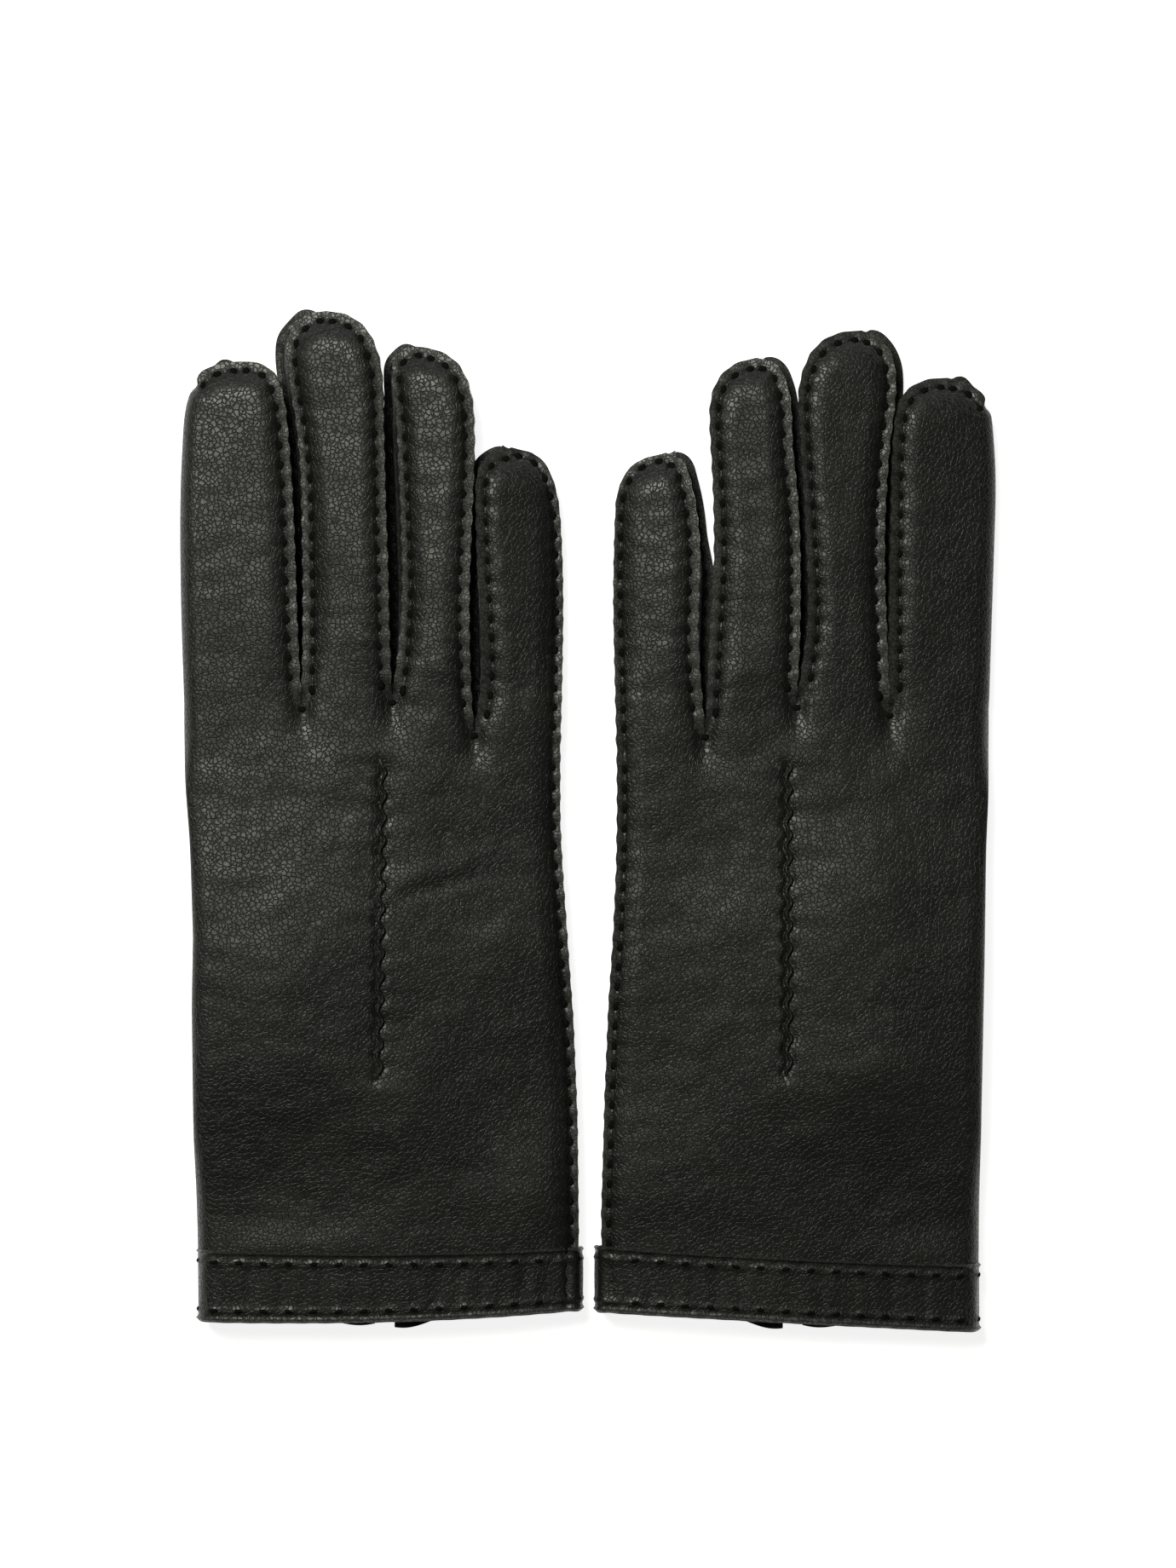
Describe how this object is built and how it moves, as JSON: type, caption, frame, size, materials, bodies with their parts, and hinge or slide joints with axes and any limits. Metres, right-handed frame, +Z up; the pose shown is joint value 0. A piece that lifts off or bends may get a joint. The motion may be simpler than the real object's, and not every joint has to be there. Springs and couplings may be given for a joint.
{
  "type": "leather gloves",
  "caption": "Pair of hand-sewn black leather dress gloves, lying palm down side by side with the thumbs folded under.",
  "frame": {"origin": "on the table, under the middle of the pair", "axes": "+X across the pair from the right glove to the left one, +Y from the wrists to the fingertips, +Z up"},
  "size_m": [0.203, 0.2508, 0.0168],
  "materials": {
    "leather": "semi-matte, fine grain",
    "lining": "soft knitted lining",
    "thread": "waxed black thread"
  },
  "bodies": {
    "right_hand": {"right_hand_back": "leather", "right_hand_palm": "leather", "right_vent_binding": "leather", "right_quirk_index_middle": "leather", "right_quirk_middle_ring": "leather", "right_quirk_ring_little": "leather", "right_wrist_band": "leather", "right_wrist_band_short": "leather", "right_hand_lining": "lining"},
    "right_index": {"right_index_back": "leather", "right_index_palm": "leather", "right_index_fourchette_outer_side": "leather", "right_index_lining": "lining"},
    "right_middle": {"right_middle_back": "leather", "right_middle_palm": "leather", "right_middle_fourchette_thumb_side": "leather", "right_middle_fourchette_outer_side": "leather", "right_middle_lining": "lining"},
    "right_ring": {"right_ring_back": "leather", "right_ring_palm": "leather", "right_ring_fourchette_thumb_side": "leather", "right_ring_fourchette_outer_side": "leather", "right_ring_lining": "lining"},
    "right_little": {"right_little_back": "leather", "right_little_palm": "leather", "right_little_fourchette_thumb_side": "leather", "right_little_lining": "lining"},
    "right_thumb": {"right_thumb": "leather", "right_thumb_lining": "lining"},
    "left_hand": {"left_hand_back": "leather", "left_hand_palm": "leather", "left_vent_binding": "leather", "left_quirk_index_middle": "leather", "left_quirk_middle_ring": "leather", "left_quirk_ring_little": "leather", "left_wrist_band": "leather", "left_wrist_band_short": "leather", "left_hand_lining": "lining"},
    "left_index": {"left_index_back": "leather", "left_index_palm": "leather", "left_index_fourchette_outer_side": "leather", "left_index_lining": "lining"},
    "left_middle": {"left_middle_back": "leather", "left_middle_palm": "leather", "left_middle_fourchette_thumb_side": "leather", "left_middle_fourchette_outer_side": "leather", "left_middle_lining": "lining"},
    "left_ring": {"left_ring_back": "leather", "left_ring_palm": "leather", "left_ring_fourchette_thumb_side": "leather", "left_ring_fourchette_outer_side": "leather", "left_ring_lining": "lining"},
    "left_little": {"left_little_back": "leather", "left_little_palm": "leather", "left_little_fourchette_thumb_side": "leather", "left_little_lining": "lining"},
    "left_thumb": {"left_thumb": "leather", "left_thumb_lining": "lining"}
  },
  "joints": [
    {"name": "right_index_flex", "type": "hinge", "parent": "right_hand", "child": "right_index", "pos_m": [-0.0861, 0.027, 0], "axis": [-1, 0, 0], "range_deg": [0, 85]},
    {"name": "right_middle_flex", "type": "hinge", "parent": "right_hand", "child": "right_middle", "pos_m": [-0.0598, 0.028, 0], "axis": [-1, 0, 0], "range_deg": [0, 85]},
    {"name": "right_ring_flex", "type": "hinge", "parent": "right_hand", "child": "right_ring", "pos_m": [-0.0377, 0.026, 0], "axis": [-1, 0, 0], "range_deg": [0, 85]},
    {"name": "right_little_flex", "type": "hinge", "parent": "right_hand", "child": "right_little", "pos_m": [-0.0167, 0.021, 0], "axis": [-1, 0, 0], "range_deg": [0, 85]},
    {"name": "right_thumb_swing", "type": "hinge", "parent": "right_hand", "child": "right_thumb", "pos_m": [-0.0834, -0.052, 0.0037], "axis": [0, 0, 1], "range_deg": [0, 50]},
    {"name": "left_index_flex", "type": "hinge", "parent": "left_hand", "child": "left_index", "pos_m": [0.0875, 0.0256, 0], "axis": [-1, 0, 0], "range_deg": [0, 85]},
    {"name": "left_middle_flex", "type": "hinge", "parent": "left_hand", "child": "left_middle", "pos_m": [0.0626, 0.0266, 0], "axis": [-1, 0, 0], "range_deg": [0, 85]},
    {"name": "left_ring_flex", "type": "hinge", "parent": "left_hand", "child": "left_ring", "pos_m": [0.0397, 0.0246, 0], "axis": [-1, 0, 0], "range_deg": [0, 85]},
    {"name": "left_little_flex", "type": "hinge", "parent": "left_hand", "child": "left_little", "pos_m": [0.0178, 0.0196, 0], "axis": [-1, 0, 0], "range_deg": [0, 85]},
    {"name": "left_thumb_swing", "type": "hinge", "parent": "left_hand", "child": "left_thumb", "pos_m": [0.084, -0.0534, 0.0037], "axis": [0, 0, -1], "range_deg": [0, 50]},
    {"name": "left_glove_lift", "type": "slide", "parent": "right_hand", "child": "left_hand", "axis": [0, 0, 1], "range_m": [0, 0.1]}
  ]
}
